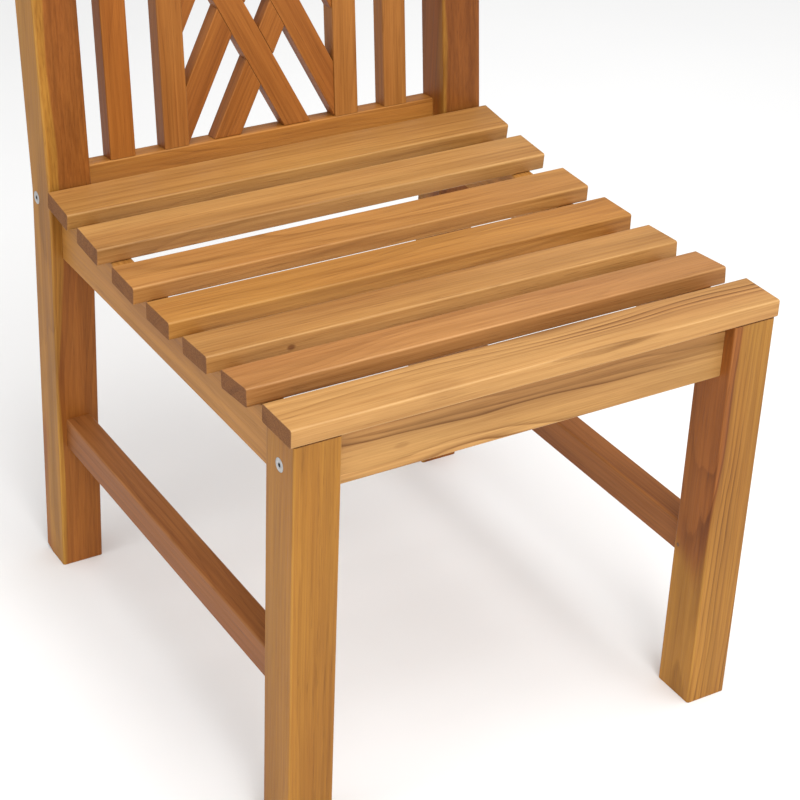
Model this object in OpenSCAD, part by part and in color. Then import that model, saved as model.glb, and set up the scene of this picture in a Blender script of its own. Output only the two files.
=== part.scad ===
// Slatted teak garden chair without arms: two mortised side frames, bolted front apron and back
// rails, a dished seat of seven slats and a back with upright slats and a slanting lattice.
// Millimetres. Z is up, the front faces -Y, and left and right are as seen from the front.

/* [Overall size] */
// Width of the seat over the ends of the slats
seat_width = 500; // [400:1:640]
// Height of the rear leg tops
overall_height = 900; // [700:1:1100]
// Height of the top of the front slat
seat_height = 441; // [360:1:540]
// From the front of the front legs to the front of the rear legs at seat level
seat_depth = 497; // [400:1:620]

/* [Legs] */
// Width of each leg, seen from the front
leg_width = 45; // [36:0.5:60]
// Front to back depth of the front legs
front_leg_depth = 49; // [42:0.5:60]
// Front to back depth of the rear legs
rear_leg_depth = 45; // [42:0.5:60]
// How far each slat end runs past the outer face of the legs
slat_overhang = 3; // [0:0.5:12]
// Lean of the back from upright, in degrees
back_rake = 6; // [2:0.5:14]
// How far the rear feet stand behind the bend in the rear legs
foot_setback = 10; // [2:1:30]
// Height of the bend in the rear legs above the rear end of the side rails
bend_above_rail = 2; // [1:0.5:20]
// Length of the relief cut at the back of each rear foot
heel_length = 15; // [4:0.5:20]
// Height of the relief cut at the back of each rear foot
heel_height = 4; // [2:0.5:10]
// Chamfer on the tops of the rear legs
leg_top_chamfer = 4; // [1:0.5:8]
// Radius of the long edges of the front legs and stretchers
edge_radius = 2.5; // [1:0.25:5]

/* [Seat] */
// Depth of slats 1 to 6, front to back
slat_depth = 47; // [36:0.5:52]
// Depth of the front slat, which covers the tops of the front legs
front_slat_depth = 50; // [44:0.5:60]
// Thickness of each seat slat
slat_thickness = 17.5; // [12:0.5:20]
// Radius of the long edges of the seat slats
slat_edge_radius = 3; // [1:0.25:5]
// Gap between the front slat and the next one
front_gap = 26.5; // [8:0.5:40]
// How far slat 2 lies behind its even place between slats 1 and 3
second_slat_shift = 5; // [0:0.5:8]
// Space between the last slat and the rear legs
rear_gap = 1.2; // [0.5:0.1:8]
// Depth of the dish in the side rails
seat_dish = 12.5; // [4:0.5:20]
// How far the rail line starts below the tops of the front legs
front_drop = 1.5; // [0.5:0.5:6]
// How far the rail line ends above the tops of the front legs
rear_rise = 4; // [0:0.5:12]

/* [Rails and stretchers] */
// Thickness of the apron, the side rails and the back rails
rail_thickness = 22; // [18:0.5:26]
// Height of the apron, and of the front ends of the side rails
apron_height = 57; // [50:0.5:75]
// Setback of the apron behind the front faces of the legs
apron_setback = 13.5; // [4:0.5:16]
// Height of the lower back rail
lower_rail_height = 53; // [46:1:70]
// How far the lower back rail stands above the rear of the seat
rail_above_seat = 5; // [2:0.5:20]
// Height of the top back rail
top_rail_height = 61; // [46:1:90]
// How far the rear legs stand above the top back rail
top_rail_drop = 8; // [0:0.5:20]
// Thickness of the side stretchers
stretcher_thickness = 27; // [20:0.5:32]
// Height of the side stretchers
stretcher_height = 34; // [30:0.5:44]
// Height of the underside of the side stretchers
stretcher_bottom = 147.5; // [80:0.5:220]

/* [Back] */
// Width of the upright back slats
back_slat_width = 27; // [22:0.5:32]
// Thickness of the upright back slats
back_slat_thickness = 21; // [14:0.5:22]
// Distance between the two inner upright slats
lattice_field_width = 168; // [120:1:200]
// Width of the lattice bars
lattice_bar_width = 27; // [18:0.5:32]
// Thickness of the lattice bars
lattice_bar_thickness = 17; // [12:0.5:21]
// Sideways spacing of neighbouring parallel lattice bars
lattice_spacing = 59; // [48:0.5:70]

/* [Joints] */
// Length of the rail and stretcher tenons
tenon_length = 16; // [12:0.5:16]
// Thickness of the rail and stretcher tenons
tenon_thickness = 10; // [6:0.5:12]
// Shoulder above and below each rail or stretcher tenon
tenon_shoulder = 7; // [4:0.5:8]
// Height of the side rail tenons
rail_tenon_height = 26; // [18:0.5:34]
// Length of the tenons on the upright back slats
slat_tenon_length = 10; // [6:0.5:14]
// Thickness of the tenons on the upright back slats
slat_tenon_thickness = 10; // [6:0.5:12]
// Shoulder on each edge of an upright slat's tenon
slat_tenon_shoulder = 4; // [2:0.5:6]
// Free space at the bottom of every mortise and dowel hole
end_clearance = 1; // [0.5:0.1:2]
// Diameter of the wooden dowels
dowel_diameter = 8; // [6:0.5:8]
// Length of the dowels in the rail ends
rail_dowel_length = 30; // [20:1:30]
// Distance of the rail dowels from the edges of the rail
rail_dowel_edge = 11; // [8:0.5:12]
// Length of the dowels under the seat slats
slat_dowel_length = 20; // [14:1:22]
// How far those dowels go into the slats
slat_dowel_in_slat = 9; // [6:0.5:10]
// Diameter of the pins through the tenons
pin_diameter = 4; // [3:0.5:5]
// How far the pins go past the tenons, into the far side of the mortises
pin_past_tenon = 2.5; // [1:0.5:8]
// Distance of the pins behind the joint line
pin_inset = 6; // [5:0.5:8]
// Radial clearance round dowels and pins
dowel_fit = 0.1; // [0.05:0.05:0.3]

/* [Hardware] */
// Shank diameter of the furniture bolts
bolt_diameter = 6; // [5:0.5:8]
// Diameter of the bolt heads
head_diameter = 13; // [11:0.5:16]
// Thickness of the bolt heads, sunk flush in the legs
head_thickness = 2.5; // [2:0.25:4]
// Hexagon socket size, across the corners
socket_size = 4.6; // [3:0.1:6]
// Depth of the hexagon socket
socket_depth = 2; // [1:0.25:2]
// Distance of the barrel nuts from the rail ends
nut_inset = 30; // [22:1:36]
// Diameter of the barrel nuts
nut_diameter = 10; // [10:0.5:12]
// Length of the barrel nuts
nut_length = 16; // [12:0.5:18]
// How far the bolts reach past the centre of the barrel nuts
bolt_reach = 8; // [6:1:12]
// Radial clearance of the bolts in wood
bolt_clearance = 0.5; // [0.25:0.05:1]
// Radial clearance round bolt heads and barrel nuts
hardware_fit = 0.2; // [0.1:0.05:0.4]
// Radial play in the thread of the barrel nuts
thread_play = 0.05; // [0.02:0.01:0.1]

/* [Hidden] */
$fn = 48;
// Side of the blocks that trim a piece to a slanting plane
trim = 2 * (overall_height + seat_depth + seat_width);
// Overrun of every cut past the face that it opens
over = 1;

// Faces and centres across the chair
leg_x = seat_width / 2 - slat_overhang;
leg_inner_x = leg_x - leg_width;
rail_x = leg_x - leg_width / 2;

// Heights
front_leg_top = seat_height - slat_thickness;
rail_rear_top = front_leg_top + rear_rise;
bend_height = rail_rear_top + bend_above_rail;

// Rear leg angles
kick = atan(foot_setback / bend_height);
mitre = (back_rake - kick) / 2;
upper_rise = overall_height - bend_height + leg_top_chamfer * sin(back_rake);
upper_length = upper_rise / cos(back_rake);
upper_run = (upper_length - leg_top_chamfer) * sin(back_rake);
overall_depth = seat_depth + rear_leg_depth * cos(back_rake) + upper_run;
bend_depth = rear_leg_depth / cos((back_rake + kick) / 2);
foot_depth = rear_leg_depth / cos(kick);

// The back plane: local z runs up the lean from the bend, local y from the front of the rear legs
function back_point(y, z) = [
    seat_depth + y * cos(back_rake) + z * sin(back_rake),
    bend_height - y * sin(back_rake) + z * cos(back_rake)
];
rail_front = rear_leg_depth - rail_thickness;
rail_middle = rear_leg_depth - rail_thickness / 2;
seat_rear_top = rail_rear_top + slat_thickness;
lower_rail_rise = seat_rear_top + rail_above_seat - bend_height;
lower_rail_top = (lower_rail_rise + rail_front * sin(back_rake)) / cos(back_rake);
lower_rail_middle = lower_rail_top - lower_rail_height / 2;
top_rail_bottom = upper_length - top_rail_drop - top_rail_height;
top_rail_middle = top_rail_bottom + top_rail_height / 2;

// Upright back slats
field_half = lattice_field_width / 2;
inner_slat_x = field_half + back_slat_width / 2;
outer_gap = (leg_inner_x - field_half - 2 * back_slat_width) / 2;
outer_slat_x = inner_slat_x + back_slat_width + outer_gap;
back_slat_x = [-outer_slat_x, -inner_slat_x, inner_slat_x, outer_slat_x];
back_slat_length = top_rail_bottom - lower_rail_top;
slat_front = rail_middle - back_slat_thickness / 2;

// Lattice bars: the middle pair runs edge to corner across the field
field_radius = norm([field_half, back_slat_length / 2]);
field_slope = atan(lattice_field_width / back_slat_length);
bar_angle = field_slope + asin(lattice_bar_width / 2 / field_radius);
bar_shift = lattice_spacing * cos(bar_angle);

// Seat line along the side rails
line_start = front_slat_depth + front_gap;
line_length = seat_depth - line_start;
line_front_z = front_leg_top - front_drop;
line_climb = rail_rear_top - line_front_z;
function share(y) = (y - line_start) / line_length;
function seat_line(y) = line_front_z + line_climb * share(y) - 4 * seat_dish * share(y) * (1 - share(y));
function seat_slope(y) = atan((line_climb - 4 * seat_dish * (1 - 2 * share(y))) / line_length);

// Slats 1 to 6 lie on the side rails from the back forwards, and slat 7 on the front legs
last_slat = 7;
first_y = seat_depth - rear_gap - slat_depth / 2;
sixth_y = line_start + slat_depth / 2;
slat_pitch = (first_y - sixth_y) / 5;
function shift(i) = i == 2 ? second_slat_shift : 0;
function depth_of(i) = i == last_slat ? front_slat_depth : slat_depth;
function slat_y(i) = i == last_slat ? front_slat_depth / 2 : first_y - (i - 1) * slat_pitch + shift(i);
function slat_z(i) = i == last_slat ? front_leg_top : seat_line(slat_y(i));
function slat_tilt(i) = i == last_slat ? 0 : seat_slope(slat_y(i));
function seat_point(i, side) = [
    slat_y(i) + side * slat_depth / 2 * cos(slat_tilt(i)),
    slat_z(i) + side * slat_depth / 2 * sin(slat_tilt(i))
];

// Tenons and bolts
rail_bottom = front_leg_top - apron_height;
rail_tenon_bottom = rail_bottom + tenon_shoulder;
stretcher_top = stretcher_bottom + stretcher_height;
stretcher_tenon_bottom = stretcher_bottom + tenon_shoulder;
stretcher_tenon_height = stretcher_height - 2 * tenon_shoulder;
pin_length = leg_width / 2 + tenon_thickness / 2 + pin_past_tenon;
apron_middle = rail_bottom + apron_height / 2;
apron_y = apron_setback + rail_thickness / 2;
function rear_face_y(z) = seat_depth + foot_setback * (1 - z / bend_height);

// Moves the whole chair so that its middle stands over the origin
module placed() {
    translate([0, -overall_depth / 2, 0]) children();
}

// The leaning plane of the back, with its origin at the bend
module in_back() {
    translate([0, seat_depth, bend_height]) rotate([-back_rake, 0, 0]) children();
}

// Rectangle with round corners, made of exact arcs
module round_rectangle(width, depth, radius) {
    translate([radius, 0]) square([width - 2 * radius, depth]);
    translate([0, radius]) square([width, depth - 2 * radius]);
    for (x = [radius, width - radius], y = [radius, depth - radius]) {
        translate([x, y]) circle(r = radius);
    }
}

// Extrudes a side view, drawn as y and z, evenly about x = 0
module side_extrude(width) {
    translate([-width / 2, 0, 0]) rotate([90, 0, 90]) linear_extrude(width) children();
}

// Cylinder along X from x = 0 in the +X direction
module x_cylinder(radius, length) {
    rotate([0, 90, 0]) cylinder(r = radius, h = length);
}

// Cylinder along Y from y = 0 in the +Y direction
module y_cylinder(radius, length) {
    rotate([-90, 0, 0]) cylinder(r = radius, h = length);
}

// Everything behind the front face of the lower rear legs
module rear_space() {
    translate([0, seat_depth, bend_height]) rotate([kick, 0, 0]) translate([-trim / 2, 0, -trim / 2])
        cube([trim, trim, trim]);
}

// Bolt and dowel holes that a rail needs in a leg, drawn for the right leg at the bolt centre
module leg_drilling(rail_height) {
    translate([leg_inner_x - over, 0, 0])
        x_cylinder(bolt_diameter / 2 + bolt_clearance, leg_width + 2 * over);
    translate([leg_x - head_thickness, 0, 0])
        x_cylinder(head_diameter / 2 + hardware_fit, head_thickness + over);
    for (side = [-1, 1]) {
        translate([leg_inner_x - over, 0, side * (rail_height / 2 - rail_dowel_edge)])
            x_cylinder(dowel_diameter / 2 + dowel_fit, rail_dowel_length / 2 + over);
    }
}

// Bolt, dowel and nut holes at the right end of a rail, drawn at the bolt centre
module rail_drilling(rail_height) {
    bolt_hole = nut_inset + bolt_reach + end_clearance;
    dowel_hole = rail_dowel_length / 2 + end_clearance;
    translate([leg_inner_x - bolt_hole, 0, 0])
        x_cylinder(bolt_diameter / 2 + bolt_clearance, bolt_hole + over);
    for (side = [-1, 1]) {
        translate([leg_inner_x - dowel_hole, 0, side * (rail_height / 2 - rail_dowel_edge)])
            x_cylinder(dowel_diameter / 2 + dowel_fit, dowel_hole + over);
    }
    translate([leg_inner_x - nut_inset, -nut_length / 2, 0])
        y_cylinder(nut_diameter / 2 + hardware_fit, nut_length / 2 + rail_thickness / 2 + over);
}

// One furniture bolt, drawn for the right leg at the bolt centre
module bolt_at_leg() {
    difference() {
        union() {
            translate([leg_x - head_thickness, 0, 0]) x_cylinder(head_diameter / 2, head_thickness);
            translate([leg_inner_x - nut_inset - bolt_reach, 0, 0])
                x_cylinder(bolt_diameter / 2, leg_width + nut_inset + bolt_reach - head_thickness);
        }
        translate([leg_x - socket_depth, 0, 0]) rotate([0, 90, 0])
            cylinder(d = socket_size, h = socket_depth + over, $fn = 6);
    }
}

// One barrel nut with its cross bore, drawn for the right end of a rail at the bolt centre
module nut_at_rail() {
    difference() {
        translate([leg_inner_x - nut_inset, -nut_length / 2, 0]) y_cylinder(nut_diameter / 2, nut_length);
        translate([leg_inner_x - nut_inset - nut_diameter, 0, 0])
            x_cylinder(bolt_diameter / 2 + thread_play, 2 * nut_diameter);
    }
}

// The two locating dowels beside one bolt
module dowels_at_rail(rail_height) {
    for (side = [-1, 1]) {
        translate([leg_inner_x - rail_dowel_length / 2, 0, side * (rail_height / 2 - rail_dowel_edge)])
            x_cylinder(dowel_diameter / 2, rail_dowel_length);
    }
}

// Puts a fitting at both ends of the apron, the lower back rail or the top back rail
module both_ends() {
    children();
    mirror([1, 0, 0]) children();
}

module at_apron() {
    translate([0, apron_y, apron_middle]) both_ends() children();
}

module at_lower_rail() {
    in_back() translate([0, rail_middle, lower_rail_middle]) both_ends() children();
}

module at_top_rail() {
    in_back() translate([0, rail_middle, top_rail_middle]) both_ends() children();
}

// Tenons of one side frame, or their mortises when spare is the free depth beyond them
module front_tenons(spare) {
    reach = tenon_length + spare;
    translate([rail_x - tenon_thickness / 2, front_leg_depth - reach, rail_tenon_bottom])
        cube([tenon_thickness, reach + over, rail_tenon_height]);
    translate([rail_x - tenon_thickness / 2, front_leg_depth - reach, stretcher_tenon_bottom])
        cube([tenon_thickness, reach + over, stretcher_tenon_height]);
}

module rear_tenon(bottom, height, spare) {
    face_y = rear_face_y(bottom + height);
    translate([rail_x - tenon_thickness / 2, face_y - over, bottom])
        cube([tenon_thickness, tenon_length + over + spare, height]);
}

// Pins of the right side frame, grown by fit and extended past the inner face by opening
module frame_pins(fit, opening) {
    rail_pin_z = rail_tenon_bottom + rail_tenon_height / 2;
    stretcher_pin_z = stretcher_tenon_bottom + stretcher_tenon_height / 2;
    for (z = [rail_pin_z, stretcher_pin_z]) {
        for (y = [front_leg_depth - pin_inset, rear_face_y(z) + pin_inset]) {
            translate([leg_inner_x - opening, y, z])
                x_cylinder(pin_diameter / 2 + fit, pin_length + opening);
        }
    }
}

// Dowel under one end of a seat slat, drawn on the right side frame
module slat_dowel(i, fit, up_spare, down_spare) {
    down = slat_dowel_length - slat_dowel_in_slat + down_spare;
    translate([rail_x, slat_y(i), slat_z(i)]) rotate([slat_tilt(i), 0, 0]) translate([0, 0, -down])
        cylinder(r = dowel_diameter / 2 + fit, h = slat_dowel_in_slat + down + up_spare);
}

module front_leg() {
    difference() {
        translate([leg_inner_x, 0, 0])
            linear_extrude(front_leg_top) round_rectangle(leg_width, front_leg_depth, edge_radius);
        front_tenons(end_clearance);
        frame_pins(dowel_fit, over);
        translate([0, apron_y, apron_middle]) leg_drilling(apron_height);
        slat_dowel(last_slat, dowel_fit, 0, end_clearance);
    }
}

// Side view of a rear leg: one board sawn with its bend at the seat
rear_leg_outline = [
    [rear_face_y(0), 0],
    [seat_depth, bend_height],
    back_point(0, upper_length - leg_top_chamfer),
    back_point(leg_top_chamfer, upper_length),
    back_point(rear_leg_depth - leg_top_chamfer, upper_length),
    back_point(rear_leg_depth, upper_length - leg_top_chamfer),
    [seat_depth + bend_depth * cos(mitre), bend_height - bend_depth * sin(mitre)],
    [rear_face_y(heel_height) + foot_depth, heel_height],
    [rear_face_y(0) + foot_depth - heel_length, 0]
];

module rear_leg() {
    difference() {
        translate([rail_x, 0, 0]) side_extrude(leg_width) polygon(rear_leg_outline);
        rear_tenon(rail_tenon_bottom, rail_tenon_height, end_clearance);
        rear_tenon(stretcher_tenon_bottom, stretcher_tenon_height, end_clearance);
        frame_pins(dowel_fit, over);
        in_back() translate([0, rail_middle, lower_rail_middle]) leg_drilling(lower_rail_height);
        in_back() translate([0, rail_middle, top_rail_middle]) leg_drilling(top_rail_height);
    }
}

// Outline of a side rail: level underside and a flat seat under each slat
rail_outline = concat(
    [
        [rear_face_y(rail_bottom) + over, rail_bottom],
        [front_leg_depth, rail_bottom],
        [front_leg_depth, seat_point(6, -1)[1]]
    ],
    [for (i = [6:-1:1], side = [-1, 1]) seat_point(i, side)],
    [[rear_face_y(rail_bottom) + over, seat_point(1, 1)[1]]]
);

module side_rail() {
    difference() {
        union() {
            difference() {
                translate([rail_x, 0, 0]) side_extrude(rail_thickness) polygon(rail_outline);
                rear_space();
            }
            intersection() {
                front_tenons(0);
                translate([rail_x, 0, 0]) side_extrude(rail_thickness)
                    polygon([
                        [0, rail_bottom],
                        [front_leg_depth + over, rail_bottom],
                        [front_leg_depth + over, front_leg_top],
                        [0, front_leg_top]
                    ]);
            }
            rear_tenon(rail_tenon_bottom, rail_tenon_height, 0);
        }
        frame_pins(dowel_fit, over);
        for (i = [1:6]) {
            slat_dowel(i, dowel_fit, over, end_clearance);
        }
    }
}

module side_stretcher() {
    difference() {
        union() {
            difference() {
                translate([rail_x - stretcher_thickness / 2, front_leg_depth, stretcher_top])
                    rotate([-90, 0, 0]) linear_extrude(seat_depth)
                        round_rectangle(stretcher_thickness, stretcher_height, edge_radius);
                rear_space();
            }
            intersection() {
                front_tenons(0);
                translate([rail_x, 0, 0]) side_extrude(stretcher_thickness)
                    polygon([
                        [0, stretcher_bottom],
                        [front_leg_depth + over, stretcher_bottom],
                        [front_leg_depth + over, stretcher_top],
                        [0, stretcher_top]
                    ]);
            }
            rear_tenon(stretcher_tenon_bottom, stretcher_tenon_height, 0);
        }
        frame_pins(dowel_fit, over);
    }
}

// Plain back rail with the bolt holes at its ends, drawn in the back plane
module back_rail_board(bottom, height) {
    difference() {
        translate([-leg_inner_x, rail_front, bottom]) cube([2 * leg_inner_x, rail_thickness, height]);
        translate([0, rail_middle, bottom + height / 2]) both_ends() rail_drilling(height);
    }
}

// Tenons of upright slat i in the back plane, or its mortises when spare is added
module back_slat_tenons(i, spare) {
    width = back_slat_width - 2 * slat_tenon_shoulder;
    reach = slat_tenon_length + spare;
    translate([back_slat_x[i - 1] - width / 2, rail_middle - slat_tenon_thickness / 2, 0]) {
        translate([0, 0, lower_rail_top - reach]) cube([width, slat_tenon_thickness, reach + over]);
        translate([0, 0, top_rail_bottom - over]) cube([width, slat_tenon_thickness, reach + over]);
    }
}

module back_slat(i) {
    placed() in_back() {
        translate([back_slat_x[i - 1] - back_slat_width / 2, slat_front, lower_rail_top])
            cube([back_slat_width, back_slat_thickness, back_slat_length]);
        back_slat_tenons(i, 0);
    }
}

// Straight bar through the middle of the lattice field, leaning right by the bar angle
module lattice_bar(step, front, depth) {
    translate([0, front, lower_rail_top + back_slat_length / 2]) rotate([0, bar_angle, 0])
        translate([step * bar_shift - lattice_bar_width / 2, 0, -back_slat_length])
            cube([lattice_bar_width, depth, 2 * back_slat_length]);
}

// Opening between the inner upright slats and the two rails
module lattice_field() {
    translate([-field_half, 0, lower_rail_top]) cube([lattice_field_width, rear_leg_depth, back_slat_length]);
}

bar_front = rail_middle - lattice_bar_thickness / 2;

// Bars that lean right keep their back half where the others cross them
module lattice_rise(step) {
    placed() in_back() difference() {
        intersection() {
            lattice_bar(step, bar_front, lattice_bar_thickness);
            lattice_field();
        }
        for (other = [-1:1]) {
            mirror([1, 0, 0]) lattice_bar(other, bar_front - over, lattice_bar_thickness / 2 + over);
        }
    }
}

// Bars that lean left keep their front half
module lattice_fall(step) {
    placed() in_back() difference() {
        intersection() {
            mirror([1, 0, 0]) lattice_bar(step, bar_front, lattice_bar_thickness);
            lattice_field();
        }
        for (other = [-1:1]) {
            lattice_bar(other, bar_front + lattice_bar_thickness / 2, lattice_bar_thickness / 2 + over);
        }
    }
}

module seat_slat(i) {
    placed() difference() {
        translate([0, slat_y(i), slat_z(i)]) rotate([slat_tilt(i), 0, 0]) side_extrude(seat_width)
            translate([-depth_of(i) / 2, 0]) round_rectangle(depth_of(i), slat_thickness, slat_edge_radius);
        both_ends() slat_dowel(i, dowel_fit, 0, over);
    }
}

module front_leg_left() {
    color("peru") placed() mirror([1, 0, 0]) front_leg();
}

module front_leg_right() {
    color("peru") placed() front_leg();
}

module rear_leg_left() {
    color("peru") placed() mirror([1, 0, 0]) rear_leg();
}

module rear_leg_right() {
    color("peru") placed() rear_leg();
}

module front_apron() {
    color("burlywood") placed() difference() {
        translate([-leg_inner_x, apron_setback, rail_bottom])
            cube([2 * leg_inner_x, rail_thickness, apron_height]);
        translate([0, apron_y, apron_middle]) both_ends() rail_drilling(apron_height);
    }
}

module side_rail_left() {
    color("tan") placed() mirror([1, 0, 0]) side_rail();
}

module side_rail_right() {
    color("tan") placed() side_rail();
}

module side_stretcher_left() {
    color("sienna") placed() mirror([1, 0, 0]) side_stretcher();
}

module side_stretcher_right() {
    color("sienna") placed() side_stretcher();
}

module lower_back_rail() {
    color("burlywood") placed() in_back() difference() {
        back_rail_board(lower_rail_top - lower_rail_height, lower_rail_height);
        for (i = [1:4]) {
            back_slat_tenons(i, end_clearance);
        }
    }
}

module top_back_rail() {
    color("burlywood") placed() in_back() difference() {
        back_rail_board(top_rail_bottom, top_rail_height);
        for (i = [1:4]) {
            back_slat_tenons(i, end_clearance);
        }
    }
}

module back_slat_1() {
    color("goldenrod") back_slat(1);
}

module back_slat_2() {
    color("goldenrod") back_slat(2);
}

module back_slat_3() {
    color("goldenrod") back_slat(3);
}

module back_slat_4() {
    color("goldenrod") back_slat(4);
}

module lattice_rise_1() {
    color("chocolate") lattice_rise(-1);
}

module lattice_rise_2() {
    color("chocolate") lattice_rise(0);
}

module lattice_rise_3() {
    color("chocolate") lattice_rise(1);
}

module lattice_fall_1() {
    color("orange") lattice_fall(-1);
}

module lattice_fall_2() {
    color("orange") lattice_fall(0);
}

module lattice_fall_3() {
    color("orange") lattice_fall(1);
}

module seat_slat_1() {
    color("sandybrown") seat_slat(1);
}

module seat_slat_2() {
    color("wheat") seat_slat(2);
}

module seat_slat_3() {
    color("sandybrown") seat_slat(3);
}

module seat_slat_4() {
    color("wheat") seat_slat(4);
}

module seat_slat_5() {
    color("sandybrown") seat_slat(5);
}

module seat_slat_6() {
    color("wheat") seat_slat(6);
}

module seat_slat_7() {
    color("sandybrown") seat_slat(7);
}

module frame_bolts() {
    color("silver") placed() {
        at_apron() bolt_at_leg();
        at_lower_rail() bolt_at_leg();
        at_top_rail() bolt_at_leg();
    }
}

module barrel_nuts() {
    color("gray") placed() {
        at_apron() nut_at_rail();
        at_lower_rail() nut_at_rail();
        at_top_rail() nut_at_rail();
    }
}

module rail_dowels() {
    color("moccasin") placed() {
        at_apron() dowels_at_rail(apron_height);
        at_lower_rail() dowels_at_rail(lower_rail_height);
        at_top_rail() dowels_at_rail(top_rail_height);
    }
}

module slat_dowels() {
    color("moccasin") placed() both_ends() {
        for (i = [1:last_slat]) {
            slat_dowel(i, 0, 0, 0);
        }
    }
}

module tenon_pins() {
    color("moccasin") placed() both_ends() frame_pins(0, 0);
}

front_leg_left();
front_leg_right();
rear_leg_left();
rear_leg_right();
front_apron();
side_rail_left();
side_rail_right();
side_stretcher_left();
side_stretcher_right();
lower_back_rail();
top_back_rail();
back_slat_1();
back_slat_2();
back_slat_3();
back_slat_4();
lattice_rise_1();
lattice_rise_2();
lattice_rise_3();
lattice_fall_1();
lattice_fall_2();
lattice_fall_3();
seat_slat_1();
seat_slat_2();
seat_slat_3();
seat_slat_4();
seat_slat_5();
seat_slat_6();
seat_slat_7();
frame_bolts();
barrel_nuts();
rail_dowels();
slat_dowels();
tenon_pins();
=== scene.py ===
"""Looks of the slatted teak garden chair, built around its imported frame.

Each wooden member is rebuilt as a clean board with eased edges in the exact place of its CAD
node, and carries board coordinates (along, across and through the grain) that its teak
material reads. Steel fittings, dowels and pins keep their CAD shapes and get better materials.
"""
import math

import bmesh
import bpy
import numpy as np
from mathutils import Euler, Matrix, Vector


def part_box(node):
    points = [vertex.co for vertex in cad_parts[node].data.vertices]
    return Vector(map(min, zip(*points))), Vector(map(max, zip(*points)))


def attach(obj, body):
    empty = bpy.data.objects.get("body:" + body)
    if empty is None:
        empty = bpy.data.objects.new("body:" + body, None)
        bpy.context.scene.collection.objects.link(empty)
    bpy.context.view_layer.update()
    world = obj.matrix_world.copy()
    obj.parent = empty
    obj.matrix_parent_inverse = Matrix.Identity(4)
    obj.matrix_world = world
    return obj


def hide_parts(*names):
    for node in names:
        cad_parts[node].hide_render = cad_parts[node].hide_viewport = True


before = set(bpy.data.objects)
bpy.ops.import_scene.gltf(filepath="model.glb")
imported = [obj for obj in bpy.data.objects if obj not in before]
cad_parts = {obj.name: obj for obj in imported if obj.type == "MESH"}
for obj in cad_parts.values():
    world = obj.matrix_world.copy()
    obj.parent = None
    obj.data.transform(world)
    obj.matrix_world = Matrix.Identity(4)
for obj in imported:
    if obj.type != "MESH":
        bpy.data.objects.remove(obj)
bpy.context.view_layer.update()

# ---------------------------------------------------------------- sizes, in metres

# Radius of the long edges of each kind of board
SLAT_EASE = 0.0022
LEG_EASE = 0.0025
RAIL_EASE = 0.0022
BACK_EASE = 0.0018
LATTICE_EASE = 0.0012
# Radius of the edges round an open end, and round an end that meets another board
END_EASE = 0.0006
JOINT_EASE = 0.0005
# Thickness of the sunk bolt heads
HEAD_THICKNESS = 0.0025
# Play round a fitting in its hole, and how far a drilled hole starts outside the face it opens
FIT = 0.0002
OVERRUN = 0.002
FLOOR_SIZE = 30

# ---------------------------------------------------------------- mesh work

# Decimals to which normals, distances of planes and points count as the same
NORMAL_DECIMALS = 3
PLANE_DECIMALS = 4
POINT_DECIMALS = 6
SAME_POINT = 1e-6
# Least doubled area and length to divide by
LEAST_AREA = 1e-15
LEAST_LENGTH = 1e-12
# Sine of the turn below which a corner lies on a straight line
STRAIGHT = 1e-4
# An edge runs along the grain when the cosine of the angle between them is above this
LONG_EDGE = 0.9
# Angles between two faces, in degrees: the long edges of a board, the edges of its ends once those
# are round, the edges of a lattice bar, edges shaded as sharp, and faces merged as flat
LONG_ANGLE = 60
END_ANGLE = 35
LATTICE_ANGLE = 30
SHARP_ANGLE = 32
FLAT_ANGLE = 0.5
# Steps in the rounding of long and other edges, and sides of a round hole
LONG_SEGMENTS = 4
END_SEGMENTS = 2
HOLE_SIDES = 40
# How far a normal points along the grain, from side grain to end grain
END_FACING = (0.45, 0.85)
# How far a normal turns from the board's axes, from flat face to eased edge
EDGE_TURN = (0.02, 0.18)

# ---------------------------------------------------------------- light and camera

WORLD_LIGHT = 0.62
LIGHT_TARGET = (0.0, 0.0, 0.4)
# Each light's place, diameter and power in watts
LIGHTS = {
    "overhead": ((0.3, -0.6, 3.2), 2.6, 72.0),
    "front": ((-0.6, -3.0, 1.9), 1.8, 58.0),
    "left": ((-3.0, -0.4, 1.6), 1.8, 20.0),
}
CAMERA_PLACE = (-0.9609, -1.5962, 1.3380)
# Degrees: to the right of straight ahead, down from level, and tilt of the frame
CAMERA_TURN = 31.97
CAMERA_DOWN = 30.27
CAMERA_TILT = 2.44
# Millimetres
CAMERA_LENS = 97.86
CAMERA_SENSOR = 36.0

# ---------------------------------------------------------------- names of the boards

REAR_LEGS = ["rear_leg_left", "rear_leg_right"]
SIDE_RAILS = ["side_rail_left", "side_rail_right"]
STRETCHERS = ["side_stretcher_left", "side_stretcher_right"]
BACK_RAILS = ["lower_back_rail", "top_back_rail"]
BACK_SLATS = [f"back_slat_{i}" for i in range(1, 5)]
LATTICE = [f"lattice_{way}_{i}" for way in ("rise", "fall") for i in range(1, 4)]


# ---------------------------------------------------------------- reading the CAD nodes


def triangles(node):
    """A CAD node's corner points and triangles, as arrays."""
    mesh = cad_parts[node].data
    mesh.calc_loop_triangles()
    points = np.array([v.co for v in mesh.vertices], float)
    corners = np.array([t.vertices[:] for t in mesh.loop_triangles])
    return points, corners


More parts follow.
